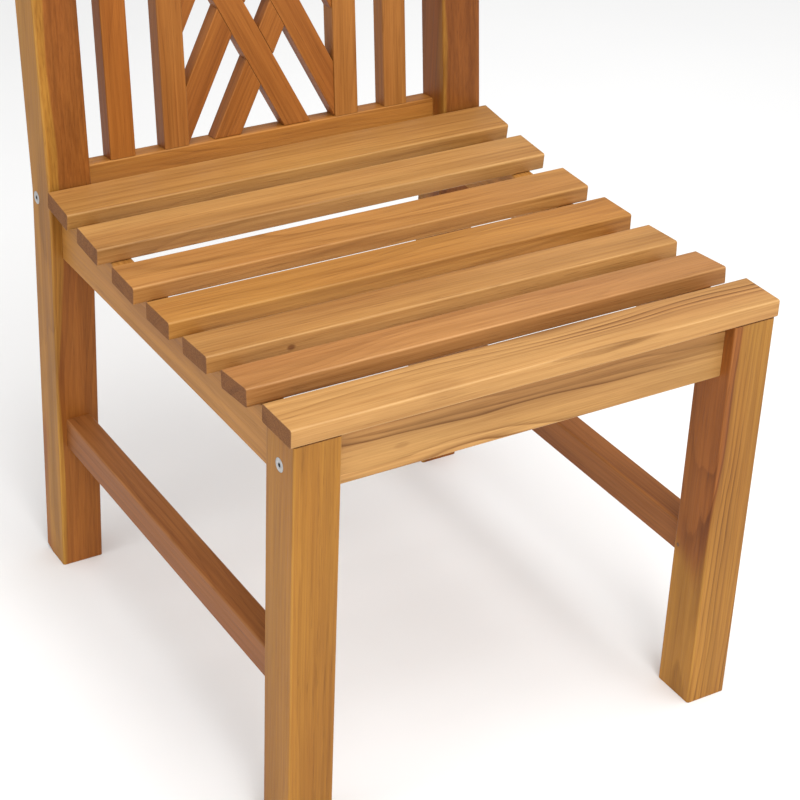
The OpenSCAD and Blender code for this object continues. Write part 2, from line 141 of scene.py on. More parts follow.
def broadest_face(node):
    """Normal, boundary edges and points of the flat face with the largest area."""
    points, corners = triangles(node)
    a, b, c = (points[corners[:, k]] for k in range(3))
    normals = np.cross(b - a, c - a)
    doubled = np.linalg.norm(normals, axis=1)
    normals = normals / np.maximum(doubled, LEAST_AREA)[:, None]
    offsets = np.einsum("ij,ij->i", normals, a)
    directions = normals.round(NORMAL_DECIMALS).T.tolist()
    groups = {}
    for i, key in enumerate(zip(*directions, offsets.round(PLANE_DECIMALS).tolist())):
        groups.setdefault(key, []).append(i)
    best = max(groups.values(), key=lambda members: doubled[members].sum())
    uses = {}
    for i in best:
        for k in range(3):
            edge = tuple(sorted((corners[i][k], corners[i][(k + 1) % 3])))
            uses[edge] = uses.get(edge, 0) + 1
    rim = [edge for edge, count in uses.items() if count == 1]
    return Vector(normals[best[0]]), rim, points


def board_axes(node):
    """Rotation, middle and half sizes of a board, measured from shoulder to shoulder.

    The rotation's columns are the directions of the grain, the width and the thickness.
    """
    normal, rim, points = broadest_face(node)
    longest = max(rim, key=lambda e: np.linalg.norm(points[e[0]] - points[e[1]]))
    along = Vector(points[longest[1]] - points[longest[0]]).normalized()
    if max(along, key=abs) < 0:
        along.negate()
    if max(normal, key=abs) < 0:
        normal.negate()
    across = normal.cross(along).normalized()
    turn = Matrix((along, across, normal)).transposed()
    axes = np.array(turn, float)
    local = points @ axes
    face = local[sorted({i for edge in rim for i in edge})]
    low, high = local.min(0), local.max(0)
    low[0], high[0] = face[:, 0].min(), face[:, 0].max()
    return turn, turn @ Vector((low + high) / 2), (high - low) / 2


def outline(node):
    """Outer loop of the node's broadest face, which faces along X, as (y, z) points."""
    _, rim, points = broadest_face(node)
    links = {}
    for a, b in rim:
        links.setdefault(a, []).append(b)
        links.setdefault(b, []).append(a)
    loops = []
    while links:
        loop = [next(iter(links))]
        while True:
            onward = [p for p in links.pop(loop[-1]) if p in links]
            if not onward:
                break
            loop.append(onward[0])
        loops.append(loop)
    widest = max(loops, key=lambda loop: np.ptp(points[loop], axis=0).max())
    return tidy_loop([tuple(points[i][1:]) for i in widest])


def tidy_loop(loop):
    """The loop without points on a straight line, counter-clockwise."""
    kept = []
    for i, p in enumerate(loop):
        before, after = Vector(loop[i - 1]), Vector(loop[(i + 1) % len(loop)])
        p = Vector(p)
        first, second = (p - before).normalized(), (after - p).normalized()
        if abs(first.x * second.y - first.y * second.x) > STRAIGHT:
            kept.append(p)
    area = sum(a.x * b.y - b.x * a.y for a, b in zip(kept, kept[1:] + kept[:1]))
    return kept if area > 0 else kept[::-1]


def islands(node):
    """Lowest and highest corner of each separate solid in a CAD node."""
    points, corners = triangles(node)
    parent = list(range(len(points)))

    def top(i):
        while parent[i] != i:
            parent[i] = parent[parent[i]]
            i = parent[i]
        return i

    same_place = {}
    for i, key in enumerate(map(tuple, points.round(POINT_DECIMALS).tolist())):
        parent[top(i)] = top(same_place.setdefault(key, i))
    for a, b, c in corners.tolist():
        parent[top(a)] = top(b)
        parent[top(b)] = top(c)
    groups = {}
    for i in range(len(points)):
        groups.setdefault(top(i), []).append(i)
    return [(Vector(points[g].min(0)), Vector(points[g].max(0))) for g in groups.values()]


# ---------------------------------------------------------------- board building


def smooth_step(values, low, high):
    """0 below low and 1 above high, with a smooth climb between them."""
    t = np.clip((values - low) / (high - low), 0, 1)
    return t * t * (3 - 2 * t)


def prism(loop, half):
    """A closed straight extrusion of a loop of (x, y) points, from z = -half to half."""
    bm = bmesh.new()
    low = [bm.verts.new((x, y, -half)) for x, y in loop]
    high = [bm.verts.new((x, y, half)) for x, y in loop]
    bm.faces.new(low[::-1])
    bm.faces.new(high)
    for i in range(len(loop)):
        j = (i + 1) % len(loop)
        bm.faces.new((low[i], low[j], high[j], high[i]))
    bm.normal_update()
    return bm


def bent_edges(bm, degrees):
    """The edges whose two faces meet at more than an angle."""
    bm.normal_update()
    limit = math.radians(degrees)
    return [e for e in bm.edges if e.is_manifold and e.calc_face_angle() > limit]


def round_edges(bm, edges, radius, segments):
    bmesh.ops.bevel(
        bm,
        geom=edges,
        offset=radius,
        segments=segments,
        profile=0.5,
        affect="EDGES",
        clamp_overlap=True,
    )


def ease(bm, long_ease, end_ease):
    """Rounds the long edges of a board that lies along x, then the edges of its ends."""
    long_edges = []
    for e in bent_edges(bm, LONG_ANGLE):
        direction = (e.verts[1].co - e.verts[0].co).normalized()
        if abs(direction.x) > LONG_EDGE:
            long_edges.append(e)
    round_edges(bm, long_edges, long_ease, LONG_SEGMENTS)
    round_edges(bm, bent_edges(bm, END_ANGLE), end_ease, END_SEGMENTS)


def new_object(name, bm):
    mesh = bpy.data.meshes.new(name)
    bm.to_mesh(mesh)
    bm.free()
    piece = bpy.data.objects.new(name, mesh)
    bpy.context.scene.collection.objects.link(piece)
    return piece


def drill(piece, holes):
    """Cuts round holes, each given as its start, direction, radius and depth."""
    if not holes:
        return
    bm = bmesh.new()
    for start, direction, radius, depth in holes:
        turn = direction.to_track_quat("Z", "Y").to_matrix().to_4x4()
        middle = start + direction * depth / 2
        bmesh.ops.create_cone(
            bm,
            cap_ends=True,
            segments=HOLE_SIDES,
            radius1=radius,
            radius2=radius,
            depth=depth,
            matrix=Matrix.Translation(middle) @ turn,
        )
    cutter = new_object("cutter", bm)
    cut = piece.modifiers.new("holes", "BOOLEAN")
    cut.operation = "DIFFERENCE"
    cut.solver = "EXACT"
    cut.object = cutter
    settled = bpy.data.meshes.new_from_object(
        piece.evaluated_get(bpy.context.evaluated_depsgraph_get())
    )
    piece.modifiers.clear()
    piece.data = settled
    bpy.data.objects.remove(cutter)


def mark_surface(piece, turn, centre):
    """Stores board coordinates and how far each point is end grain or eased edge."""
    mesh = piece.data
    count = len(mesh.vertices)
    points = np.zeros(count * 3)
    mesh.vertices.foreach_get("co", points)
    axes = np.array(turn, float)
    local = (points.reshape(-1, 3) - np.array(centre)) @ axes
    normals = np.zeros((count, 3))
    for polygon in mesh.polygons:
        normals[list(polygon.vertices)] += np.array(polygon.normal) * polygon.area
    normals = np.abs(normals @ axes)
    normals /= np.maximum(np.linalg.norm(normals, axis=1), LEAST_LENGTH)[:, None]
    values = {
        "end": smooth_step(normals[:, 0], *END_FACING),
        "edge": smooth_step(1 - normals.max(1), *EDGE_TURN),
    }
    grain = mesh.attributes.new("grain", "FLOAT_VECTOR", "POINT")
    grain.data.foreach_set("vector", local.astype(np.float32).ravel())
    for name, value in values.items():
        stored = mesh.attributes.new(name, "FLOAT", "POINT")
        stored.data.foreach_set("value", value.astype(np.float32))


def finish_board(piece, node, turn, centre, material):
    """Gives a board its material and shading, and puts it in place of its CAD node."""
    mark_surface(piece, turn, centre)
    mesh = piece.data
    mesh.materials.clear()
    mesh.materials.append(material)
    mesh.polygons.foreach_set("use_smooth", [True] * len(mesh.polygons))
    mesh.set_sharp_from_angle(angle=math.radians(SHARP_ANGLE))
    shade = piece.modifiers.new("shade", "WEIGHTED_NORMAL")
    shade.keep_sharp = True
    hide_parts(node)
    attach(piece, "root")


def straight_board(node, long_ease, end_ease, holes=()):
    """A rectangular board in the place of a CAD node: its mesh, axes and centre."""
    turn, centre, half = board_axes(node)
    x, y, z = half
    corners = [(-x, -y), (x, -y), (x, y), (-x, y)]
    bm = prism(corners, z)
    ease(bm, long_ease, end_ease)
    bm.transform(Matrix.Translation(centre) @ turn.to_4x4())
    piece = new_object(node + "_board", bm)
    drill(piece, holes)
    return piece, turn, centre


def sawn_board(node, along_z, long_ease, end_ease, holes=()):
    """A board sawn to a side view, such as a rear leg or a dished side rail."""
    low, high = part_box(node)
    centre = (low + high) / 2
    loop = outline(node)
    if along_z:
        turn = Matrix(((0, 0, 1), (0, 1, 0), (-1, 0, 0))).transposed()
        points = [(z - centre.z, y - centre.y) for y, z in loop]
        points = points[::-1]
    else:
        turn = Matrix(((0, 1, 0), (0, 0, 1), (1, 0, 0))).transposed()
        points = [(y - centre.y, z - centre.z) for y, z in loop]
    bm = prism(points, (high.x - low.x) / 2)
    ease(bm, long_ease, end_ease)
    bm.transform(Matrix.Translation(centre) @ turn.to_4x4())
    piece = new_object(node + "_board", bm)
    drill(piece, holes)
    return piece, turn, centre


def lapped_bar(node, edge_ease):
    """A lattice bar with its halved crossings, from the node's own flat faces."""
    turn, centre, _ = board_axes(node)
    bm = bmesh.new()
    bm.from_mesh(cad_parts[node].data)
    bmesh.ops.remove_doubles(bm, verts=bm.verts, dist=SAME_POINT)
    flat = math.radians(FLAT_ANGLE)
    bmesh.ops.dissolve_limit(bm, angle_limit=flat, verts=bm.verts, edges=bm.edges)
    round_edges(bm, bent_edges(bm, LATTICE_ANGLE), edge_ease, END_SEGMENTS)
    return new_object(node + "_board", bm), turn, centre


# ---------------------------------------------------------------- holes that show


def inside(point, node):
    """Whether a point lies in a CAD node's box."""
    low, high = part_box(node)
    return all(low[k] - FIT <= point[k] <= high[k] + FIT for k in range(3))


def bolt_recesses(node):
    """Round recesses for the bolt heads in a leg's outer face."""
    found = []
    low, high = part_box(node)
    side = 1 if low.x + high.x > 0 else -1
    outer = Vector((high.x if side > 0 else low.x, 0, 0))
    for a, b in islands("frame_bolts"):
        head = Vector((outer.x - side * FIT, (a.y + b.y) / 2, (a.z + b.z) / 2))
        if side * (a.x + b.x) > 0 and inside(head, node):
            radius = (b.y - a.y) / 2 + FIT
            start = head + Vector((side * (OVERRUN + FIT), 0, 0))
            found.append((start, Vector((-side, 0, 0)), radius, OVERRUN + HEAD_THICKNESS + FIT))
    return found


def pin_holes(node):
    """Holes for the tenon pins in a leg's inner face."""
    found = []
    for a, b in islands("tenon_pins"):
        middle = (a + b) / 2
        if inside(middle, node):
            side = 1 if middle.x > 0 else -1
            start = Vector((min(abs(a.x), abs(b.x)) * side - side * OVERRUN, middle.y, middle.z))
            radius = (b.y - a.y) / 2 + FIT
            found.append((start, Vector((side, 0, 0)), radius, b.x - a.x + OVERRUN + FIT))
    return found


def nut_holes(node):
    """Holes for the barrel nuts, open at the back face of a rail."""
    turn, centre, half = board_axes(node)
    out = turn.col[2].copy()
    found = []
    for a, b in islands("barrel_nuts"):
        middle = (a + b) / 2
        if inside(middle, node):
            depth = half[2] - (middle - centre).dot(out) + OVERRUN + (b.y - a.y) / 2
            radius = (b.x - a.x) / 2 + FIT
            found.append((middle - out * (b.y - a.y) / 2, out, radius, depth))
    return found


# ---------------------------------------------------------------- numbers of the materials

# Share of a board's screen colour that its own albedo gives under the studio light
ALBEDO = 0.66
TEAK_SPECULAR = 0.2
TEAK_BUMP = 0.4
TEAK_BUMP_DEPTH = 0.0003
STEEL_BUMP_DEPTH = 0.0001

# Sockets of the colour mix node
MIX_AMOUNT = 0
MIX_FIRST = 6
MIX_SECOND = 7
MIX_RESULT = 2

# Patterns of the teak: how fast they change along and across the grain, detail and roughness
SLOW_SWAY = (2.4, 8.0, 2.0, 0.5)
QUICK_SWAY = (9.0, 60.0, 2.0, 0.5)
RING_FADE = (4.0, 22.0, 2.0, 0.5)
BROAD_SHADE = (1.6, 13.0, 3.0, 0.55)
STREAK = (2.0, 85.0, 4.0, 0.6)
THREAD = (5.0, 260.0, 3.0, 0.6)
FIBRE = (12.0, 760.0, 2.0, 0.6)
PORE = (36.0, 1000.0, 1.0, 0.5)
WARM_SHADE = (2.3, 16.0, 2.0, 0.5)

# Patterns of the end grain: how fast they change along, across and through the board
END_SPECK = (400.0, 900.0, 900.0)
SAW_MARK = (60.0, 60.0, 900.0)

# How far the sways move the rings, in metres
SLOW_REACH = 0.045
QUICK_REACH = 0.0042
NOISE_MIDDLE = (0.5, 0.5, 0.5)

# How the seed moves the patterns and the rings
SEED_STEP = (3.7, 5.3, 7.1)
RING_SEED_STEP = 3.1

# Factors on the distance from a knot along, across and through the board, and how fast its push
# dies away with the square of that distance
KNOT_SHAPE = (0.4, 1.0, 0.6)
KNOT_FADE = -0.35
EULER = 2.718

# Unevenness of the rings, and the darkness across one ring as (place, level)
UNEVEN_SCALE = 0.45
UNEVEN_REACH = 2.4
RING_PROFILE = [
    (0.0, 0.7),
    (0.05, 1.0),
    (0.18, 0.65),
    (0.4, 0.25),
    (0.8, 0.0),
    (0.95, 0.1),
    (1.0, 0.7),
]

# Ranges: where a pattern goes from the first number to the second, the result goes from the third
# to the fourth, or from 0 to 1 where these are left out
LINE_RANGE = (0.1, 0.9, 0.4, 1.0)
FADE_RANGE = (0.36, 0.6, 0.35, 1.0)
BROAD_RANGE = (0.34, 0.66)
PORE_RANGE = (0.6, 0.72)
PORE_ZONE = (0.0, 0.45, 1.0, 0.3)
WARM_RANGE = (0.42, 0.68)
PALE_RANGE = (0.45, 0.72)
DEEP_RANGE = (0.5, 0.25)
THREAD_RANGE = (0.52, 0.3, 0.0, 0.6)
FIBRE_RANGE = (0.3, 0.7, 0.6, 0.0)
CORE_RANGE = (0.8, 0.3)
SPECK_RANGE = (0.35, 0.7)
SAW_RANGE = (0.45, 0.8, 0.0, 0.35)
ROUGH_RANGE = (0.25, 0.75, 0.42, 0.58)
PATCH_RANGE = (0.35, 0.7)
# Width of the border between heartwood and the paler wood outside it, in metres
HEART_BORDER = 0.003

# Tints, which multiply the board's colour
BAND_TINT = (1.16, 1.18, 1.25, 1.0)
WARM_TINT = (1.02, 0.88, 0.84, 1.0)
PALE_TINT = (1.24, 1.26, 1.34, 1.0)
DEEP_TINT = (0.70, 0.62, 0.50, 1.0)
THREAD_TINT = (0.74, 0.66, 0.56, 1.0)
FIBRE_TINT = (0.7, 0.62, 0.54, 1.0)
LINE_TINT = (0.42, 0.33, 0.22, 1.0)
HEART_TINT = (0.75, 0.55, 0.60, 1.0)
PORE_TINT = (0.55, 0.48, 0.4, 1.0)
# Paler eased edges: partly lighter sanded wood, partly a painted highlight along the rounded edges
EDGE_SHEEN_AND_WEAR_TINT = (1.12, 1.25, 1.55, 1.0)
CORE_TINT = (0.45, 0.32, 0.24, 1.0)

# How much of a tint or of the end grain's colour is laid on
BAND_AMOUNT = 0.55
WARM_AMOUNT = 0.6
PORE_AMOUNT = 0.5
END_LINE_AMOUNT = 0.5
END_AMOUNT = 0.92

# Screen colours of the end grain
END_DARK = (94, 54, 26)
END_LIGHT = (134, 86, 46)
END_LINE = (70, 40, 22)
END_SAWN = (146, 99, 56)

# Roughness added on end grain and taken off on eased edges
END_ROUGHER = 0.25
EDGE_SMOOTHER = 0.06

# Height that each pattern adds to the bump or takes off it
FIBRE_HEIGHT = 0.5
THREAD_HEIGHT = 0.5
PORE_DEPTH = 0.8
LINE_DEPTH = 0.5
SPECK_HEIGHT = 1.5

# The fittings: turning marks, patches and spread of roughness on steel, and streaks on dowels
TURNING = (200.0, 1400.0, 1400.0)
STEEL_PATCHES = 260.0
STEEL_DARK = 0.7
STEEL_SMOOTHER = 0.06
STEEL_ROUGHER = 0.1
FITTING_RANGE = (0.3, 0.7)
DOWEL_STREAK = (90.0, 700.0, 700.0)
DOWEL_ROUGHNESS = (0.5, 0.7)
DOWEL_DARK = (86, 54, 32)
DOWEL_LIGHT = (128, 88, 54)

FLOOR_PATCHES = 3.0
FLOOR_GREY = (0.86, 0.86, 0.86, 1)
FLOOR_PALE = (0.89, 0.89, 0.885, 1)
FLOOR_ROUGHNESS = 0.9


# ---------------------------------------------------------------- procedural materials


def linear(red, green, blue, gain=1.0):
    """A colour given as 0 to 255 screen values, as the shader's linear RGBA times a gain."""

    def channel(v):
        # The standard curve between screen values and light
        v /= 255
        return gain * (v / 12.92 if v <= 0.04045 else ((v + 0.055) / 1.055) ** 2.4)

    return (channel(red), channel(green), channel(blue), 1.0)


def grey(value):
    return (value, value, value, 1.0)


class Nodes:
    """Short calls for building a node tree."""

    def __init__(self, tree):
        self.tree = tree

    def add(self, kind, **settings):
        node = self.tree.nodes.new(kind)
        for name, value in settings.items():
            setattr(node, name, value)
        return node

    def feed(self, socket, value):
        """Links a socket to another, or sets it to a plain value."""
        if isinstance(value, bpy.types.NodeSocket):
            self.tree.links.new(value, socket)
        else:
            socket.default_value = value

    def math(self, operation, *values):
        node = self.add("ShaderNodeMath", operation=operation)
        for socket, value in zip(node.inputs, values):
            self.feed(socket, value)
        return node.outputs[0]

    def vector(self, operation, *values):
        node = self.add("ShaderNodeVectorMath", operation=operation)
        for socket, value in zip(node.inputs, values):
            self.feed(socket, value)
        return node.outputs["Value" if operation == "LENGTH" else "Vector"]

    def scale(self, vector, factor):
        node = self.add("ShaderNodeVectorMath", operation="SCALE")
        self.feed(node.inputs[0], vector)
        self.feed(node.inputs["Scale"], factor)
        return node.outputs["Vector"]

    def noise(self, vector, scale=1.0, detail=2.0, roughness=0.5, colour=False):
        node = self.add("ShaderNodeTexNoise")
        self.feed(node.inputs["Vector"], vector)
        self.feed(node.inputs["Scale"], scale)
        self.feed(node.inputs["Detail"], detail)
        self.feed(node.inputs["Roughness"], roughness)
        return node.outputs["Color" if colour else "Fac"]

    def spread(self, value, low, high, out_low=0.0, out_high=1.0, smooth=False):
        """Maps the range low to high onto out_low to out_high, and holds it at the ends."""
        node = self.add("ShaderNodeMapRange", clamp=True)
        node.interpolation_type = "SMOOTHSTEP" if smooth else "LINEAR"
        names = ("Value", "From Min", "From Max", "To Min", "To Max")
        for name, v in zip(names, (value, low, high, out_low, out_high)):
            self.feed(node.inputs[name], v)
        return node.outputs[0]

    def mix(self, amount, a, b, blend="MIX"):
        node = self.add("ShaderNodeMix", data_type="RGBA", blend_type=blend)
        self.feed(node.inputs[MIX_AMOUNT], amount)
        self.feed(node.inputs[MIX_FIRST], a)
        self.feed(node.inputs[MIX_SECOND], b)
        return node.outputs[MIX_RESULT]

    def ramp(self, value, stops):
        """Grey levels between stops, each given as its place and level."""
        node = self.add("ShaderNodeValToRGB")
        elements = node.color_ramp.elements
        while len(elements) < len(stops):
            elements.new(0.5)
        for element, (place, level) in zip(elements, stops):
            element.position = place
            element.color = grey(level)
        self.feed(node.inputs[0], value)
        return node.outputs[0]

    def attribute(self, name, vector=False):
        node = self.add("ShaderNodeAttribute", attribute_name=name)
        return node.outputs["Vector" if vector else "Fac"]


def teak_group():
    """Solid teak as a node group: growth rings round a pith line, fibres, pores and knots."""
    group = bpy.data.node_groups.new("teak", "ShaderNodeTree")
    interface = group.interface
    sockets = [
        ("Seed", "NodeSocketFloat", 0.0),
        ("Pith", "NodeSocketVector", (0.0, 0.0, -0.06)),
        ("Drift", "NodeSocketVector", (0.0, 0.02, 0.03)),
        ("Ring", "NodeSocketFloat", 0.006),
        ("Lines", "NodeSocketFloat", 0.5),
        ("Streaks", "NodeSocketFloat", 0.6),
        ("Heart", "NodeSocketFloat", -1.0),
        ("Light", "NodeSocketColor", grey(0.5)),
        ("Dark", "NodeSocketColor", grey(0.3)),
        ("Knot", "NodeSocketVector", (9.0, 9.0, 9.0)),
        ("Knot Size", "NodeSocketFloat", 0.005),
        ("Knot Push", "NodeSocketFloat", 0.0),
        ("Knot Core", "NodeSocketFloat", 0.0),
    ]
    for name, kind, default in sockets:
        socket = interface.new_socket(name, in_out="INPUT", socket_type=kind)
        socket.default_value = default
    results = [
        ("Colour", "NodeSocketColor"),
        ("Rough", "NodeSocketFloat"),
        ("Height", "NodeSocketFloat"),
    ]
    for name, kind in results:
        interface.new_socket(name, in_out="OUTPUT", socket_type=kind)
    n = Nodes(group)
    given = n.add("NodeGroupInput").outputs
    made = n.add("NodeGroupOutput").inputs

    place = n.attribute("grain", vector=True)
    end = n.attribute("end")
    edge = n.attribute("edge")
    seed = n.scale(SEED_STEP, given["Seed"])

    def stretched(pattern, colour=False):
        along, across, detail, roughness = pattern
        scaled = n.vector("MULTIPLY", place, (along, across, across))
        moved = n.vector("ADD", scaled, seed)
        return n.noise(moved, detail=detail, roughness=roughness, colour=colour)

    def tinted(base, amount, tint):
        return n.mix(amount, base, tint, "MULTIPLY")

    def sway(pattern, reach):
        wander = n.vector("SUBTRACT", stretched(pattern, colour=True), NOISE_MIDDLE)
        return n.vector("MULTIPLY", wander, (0.0, reach, reach))

    # The place across the trunk from its pith, with slow waves and small wiggles
    slow = sway(SLOW_SWAY, SLOW_REACH)
    quick = sway(QUICK_SWAY, QUICK_REACH)
    split = n.add("ShaderNodeSeparateXYZ")
    n.feed(split.inputs[0], place)
    drift = n.scale(given["Drift"], split.outputs[0])
    across = n.vector("SUBTRACT", n.vector("SUBTRACT", place, given["Pith"]), drift)
    across = n.vector("ADD", n.vector("ADD", across, slow), quick)

    # A knot pushes the rings apart round it and may show a dark core
    from_knot = n.vector("SUBTRACT", place, given["Knot"])
    near = n.vector("LENGTH", n.vector("MULTIPLY", from_knot, KNOT_SHAPE))
    near = n.math("DIVIDE", near, given["Knot Size"])
    fading = n.math("MULTIPLY", n.math("MULTIPLY", near, near), KNOT_FADE)
    wave = n.math("POWER", EULER, fading)
    push = n.scale(from_knot, n.math("MULTIPLY", wave, given["Knot Push"]))
    across = n.vector("SUBTRACT", across, push)
    distance = n.vector("LENGTH", n.vector("MULTIPLY", across, (0.0, 1.0, 1.0)))

    # Growth rings: a crisp dark line that fades outwards, of uneven width and strength
    steps = n.math("DIVIDE", distance, given["Ring"])
    seeded = n.math("ADD", steps, n.math("MULTIPLY", given["Seed"], RING_SEED_STEP))
    uneven = n.add("ShaderNodeTexNoise", noise_dimensions="1D")
    n.feed(uneven.inputs["W"], seeded)
    uneven.inputs["Scale"].default_value = UNEVEN_SCALE
    uneven.inputs["Detail"].default_value = 1.0
    steps = n.math("ADD", steps, n.math("MULTIPLY", uneven.outputs["Fac"], UNEVEN_REACH))
    within = n.math("FRACT", steps)
    shades = n.add("ShaderNodeTexWhiteNoise", noise_dimensions="1D")
    n.feed(shades.inputs["W"], n.math("ADD", n.math("FLOOR", steps), given["Seed"]))
    band = n.add("ShaderNodeSeparateXYZ")
    n.feed(band.inputs[0], shades.outputs["Color"])
    line = n.ramp(within, RING_PROFILE)
    strength = n.spread(band.outputs[0], *LINE_RANGE)
    fade = n.spread(stretched(RING_FADE), *FADE_RANGE, smooth=True)
    line = n.math("MULTIPLY", n.math("MULTIPLY", line, strength), fade)

    # Broad colour, streaks along the grain, fine fibres and open pores
    broad = n.spread(stretched(BROAD_SHADE), *BROAD_RANGE, smooth=True)
    streak = stretched(STREAK)
    thread = stretched(THREAD)
    fibre = stretched(FIBRE)
    pores = n.spread(stretched(PORE), *PORE_RANGE)
    zone = n.spread(within, *PORE_ZONE)

    colour = n.mix(broad, given["Light"], given["Dark"])
    banded = n.math("MULTIPLY", band.outputs[1], given["Lines"])
    colour = tinted(colour, n.math("MULTIPLY", banded, BAND_AMOUNT), BAND_TINT)
    warm = n.spread(stretched(WARM_SHADE), *WARM_RANGE)
    colour = tinted(colour, n.math("MULTIPLY", warm, WARM_AMOUNT), WARM_TINT)
    pale = n.math("MULTIPLY", n.spread(streak, *PALE_RANGE), given["Streaks"])
    colour = tinted(colour, pale, PALE_TINT)
    deep = n.math("MULTIPLY", n.spread(streak, *DEEP_RANGE), given["Streaks"])
    colour = tinted(colour, deep, DEEP_TINT)
    colour = tinted(colour, n.spread(thread, *THREAD_RANGE), THREAD_TINT)
    colour = tinted(colour, n.spread(fibre, *FIBRE_RANGE), FIBRE_TINT)
    colour = tinted(colour, n.math("MULTIPLY", line, given["Lines"]), LINE_TINT)
    border = n.math("ADD", given["Heart"], HEART_BORDER)
    heart = n.spread(distance, given["Heart"], border, out_low=1.0, out_high=0.0, smooth=True)
    colour = tinted(colour, heart, HEART_TINT)
    holes = n.math("MULTIPLY", pores, zone)
    colour = tinted(colour, n.math("MULTIPLY", holes, PORE_AMOUNT), PORE_TINT)
    # Eased edges made paler: partly lighter sanded wood, partly a painted highlight along the
    # rounded edges
    colour = tinted(colour, edge, EDGE_SHEEN_AND_WEAR_TINT)
    core = n.math("MULTIPLY", n.spread(near, *CORE_RANGE, smooth=True), given["Knot Core"])
    colour = tinted(colour, core, CORE_TINT)

    # End grain is darker and greyer, speckled with pores and marked by the saw
    speck = n.vector("ADD", n.vector("MULTIPLY", place, END_SPECK), seed)
    speck = n.noise(speck, detail=2.0, roughness=0.6)
    sawn = n.noise(n.vector("MULTIPLY", place, SAW_MARK), detail=2.0, roughness=0.5)
    cut = n.mix(n.spread(speck, *SPECK_RANGE), linear(*END_DARK), linear(*END_LIGHT))
    cut = n.mix(n.math("MULTIPLY", line, END_LINE_AMOUNT), cut, linear(*END_LINE))
    cut = n.mix(n.spread(sawn, *SAW_RANGE), cut, linear(*END_SAWN))
    colour = n.mix(n.math("MULTIPLY", end, END_AMOUNT), colour, cut)

    rough = n.spread(fibre, *ROUGH_RANGE)
    rough = n.math("ADD", rough, n.math("MULTIPLY", end, END_ROUGHER))
    rough = n.math("SUBTRACT", rough, n.math("MULTIPLY", edge, EDGE_SMOOTHER))
    fine = n.math("MULTIPLY", fibre, FIBRE_HEIGHT)
    height = n.math("ADD", fine, n.math("MULTIPLY", thread, THREAD_HEIGHT))
    height = n.math("SUBTRACT", height, n.math("MULTIPLY", pores, PORE_DEPTH))
    height = n.math("SUBTRACT", height, n.math("MULTIPLY", line, LINE_DEPTH))
    specks = n.math("MULTIPLY", n.math("MULTIPLY", speck, end), SPECK_HEIGHT)
    height = n.math("ADD", height, specks)

    n.feed(made["Colour"], colour)
    n.feed(made["Rough"], rough)
    n.feed(made["Height"], height)
    return group


TEAK = teak_group()


def new_material(name):
    """A material, the calls for building its node tree, and its surface shader."""
    material = bpy.data.materials.new(name)
    material.use_nodes = True
    return material, Nodes(material.node_tree), material.node_tree.nodes["Principled BSDF"]


def add_bump(n, shader, strength, depth, height):
    bump = n.add("ShaderNodeBump")
    bump.inputs["Strength"].default_value = strength
    bump.inputs["Distance"].default_value = depth
    n.feed(bump.inputs["Height"], height)
    n.feed(shader.inputs["Normal"], bump.outputs["Normal"])


def teak(
    name,
    seed,
    tone,
    contrast=0.12,
    lines=0.5,
    streaks=0.55,
    ring=0.006,
    pith=(0.0, -0.06),
    drift=(0.02, 0.03),
    heart=-1.0,
    knot=None,
    push=2.0,
    core=0.0,
):
    """One board's teak.

    tone is its screen colour in the studio light, and contrast, lines and streaks are strengths.
    ring is the width of a growth ring in metres. pith is the place of the trunk's middle across
    and through the board, and drift is how much that place moves for each metre along the board.
    The wood nearer to the pith than heart is darker. A knot is (along, across, through, size);
    push parts the rings round it and core darkens it.
    """
    material, n, shader = new_material(name)
    wood = n.add("ShaderNodeGroup")
    wood.node_tree = TEAK
    values = {
        "Seed": seed,
        "Pith": (0.0, *pith),
        "Drift": (0.0, *drift),
        "Ring": ring,
        "Lines": lines,
        "Streaks": streaks,
        "Heart": heart,
        "Light": linear(*tone, ALBEDO * (1 + contrast)),
        "Dark": linear(*tone, ALBEDO * (1 - contrast)),
    }
    if knot:
        values["Knot"] = knot[:3]
        values["Knot Size"] = knot[3]
        values["Knot Push"] = push
        values["Knot Core"] = core
    for socket, value in values.items():
        wood.inputs[socket].default_value = value
    n.feed(shader.inputs["Base Color"], wood.outputs["Colour"])
    n.feed(shader.inputs["Roughness"], wood.outputs["Rough"])
    add_bump(n, shader, TEAK_BUMP, TEAK_BUMP_DEPTH, wood.outputs["Height"])
    shader.inputs["Specular IOR Level"].default_value = TEAK_SPECULAR
    return material


def steel(name, base, roughness, scratch):
    """Worn bright steel with fine turning marks."""
    material, n, shader = new_material(name)
    place = n.add("ShaderNodeTexCoord").outputs["Object"]
    grain = n.noise(n.vector("MULTIPLY", place, TURNING), detail=3.0, roughness=0.6)
    patch = n.noise(place, scale=STEEL_PATCHES, detail=2.0, roughness=0.5)
    shade = n.mix(n.spread(patch, *PATCH_RANGE), grey(base), grey(base * STEEL_DARK))
    n.feed(shader.inputs["Base Color"], shade)
    least = roughness - STEEL_SMOOTHER
    most = roughness + STEEL_ROUGHER
    n.feed(shader.inputs["Roughness"], n.spread(grain, *FITTING_RANGE, least, most))
    add_bump(n, shader, scratch, STEEL_BUMP_DEPTH, grain)
    shader.inputs["Metallic"].default_value = 1.0
    return material


def dowel_wood(name):
    """Plain hardwood for dowels and pins, darkened by oil."""
    material, n, shader = new_material(name)
    place = n.add("ShaderNodeTexCoord").outputs["Object"]
    streak = n.noise(n.vector("MULTIPLY", place, DOWEL_STREAK), detail=3.0, roughness=0.6)
    shade = n.spread(streak, *FITTING_RANGE)
    colour = n.mix(shade, linear(*DOWEL_DARK), linear(*DOWEL_LIGHT))
    n.feed(shader.inputs["Base Color"], colour)
    rough = n.spread(streak, *FITTING_RANGE, *DOWEL_ROUGHNESS)
    n.feed(shader.inputs["Roughness"], rough)
    return material


# ---------------------------------------------------------------- the boards


def board(node, made, slot, **look):
    """Finishes a board that was made in place of a CAD node, in teak of its own."""
    piece, turn, centre = made
    finish_board(piece, node, turn, centre, teak(node + "_teak", **look))


